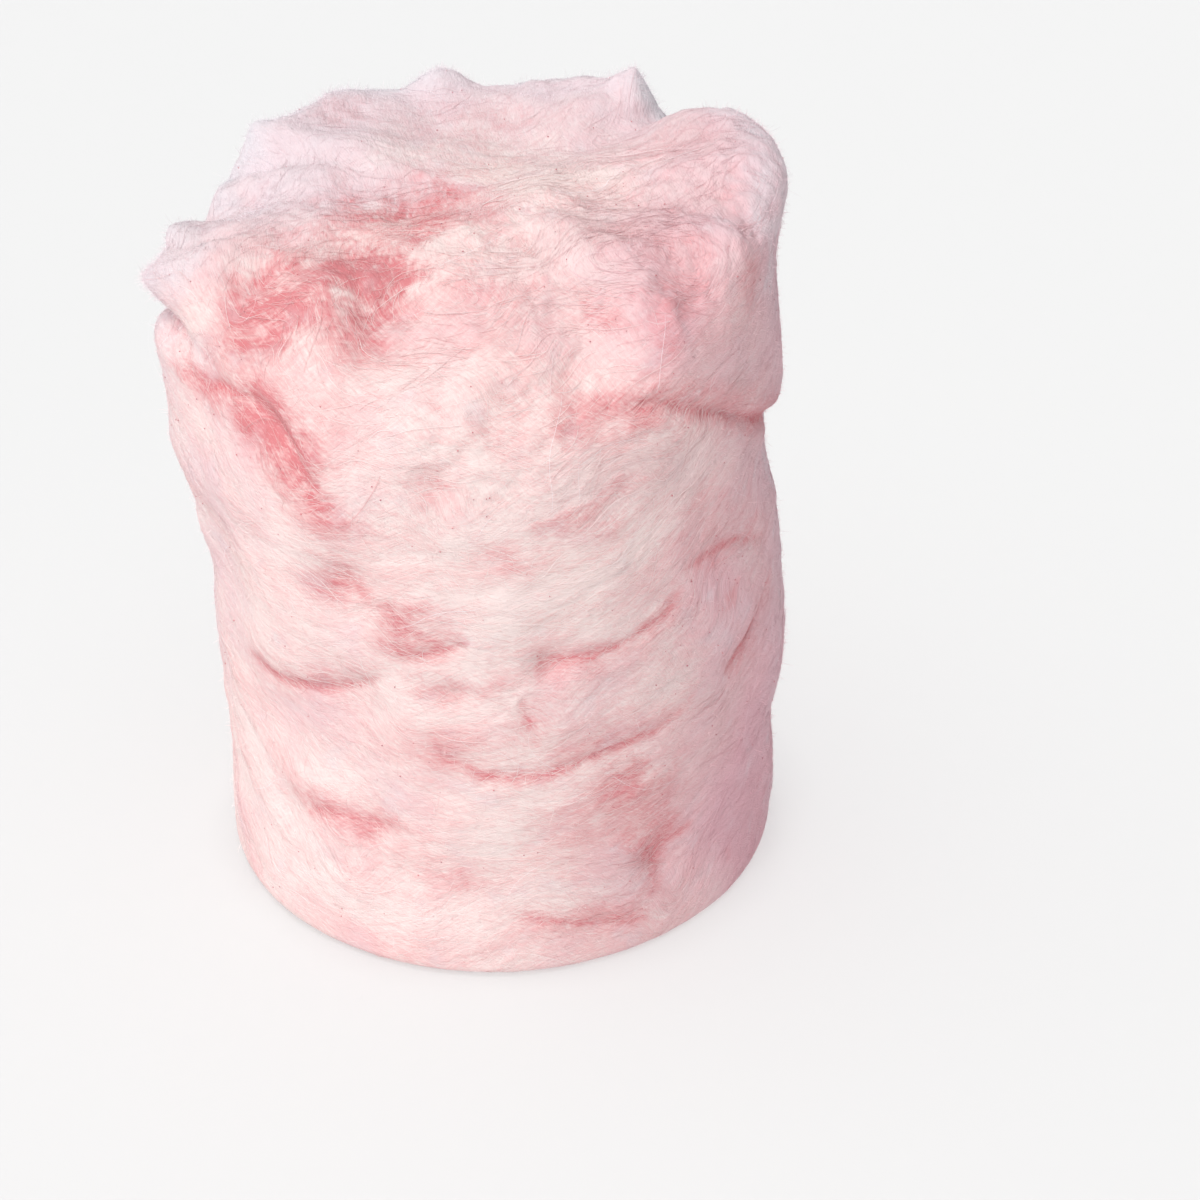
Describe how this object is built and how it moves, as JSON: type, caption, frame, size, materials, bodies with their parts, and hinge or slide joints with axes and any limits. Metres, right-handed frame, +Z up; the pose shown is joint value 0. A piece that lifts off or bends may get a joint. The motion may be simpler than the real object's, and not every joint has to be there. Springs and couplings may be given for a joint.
{
  "type": "cotton candy",
  "caption": "Upright round block of pink spun sugar floss with a creased straight wall, a plucked uneven crown and small tufts round its rim.",
  "frame": {"origin": "centre of the bounding box's bottom face, on the flat foot the block stands on", "axes": "+Z up along the block's height; the side the picture shows faces -Y, and its right is +X"},
  "size_m": [0.115, 0.1122, 0.1428],
  "materials": {
    "floss": "matte, fibrous"
  },
  "bodies": {
    "root": {"cotton_candy": "floss"}
  },
  "joints": []
}
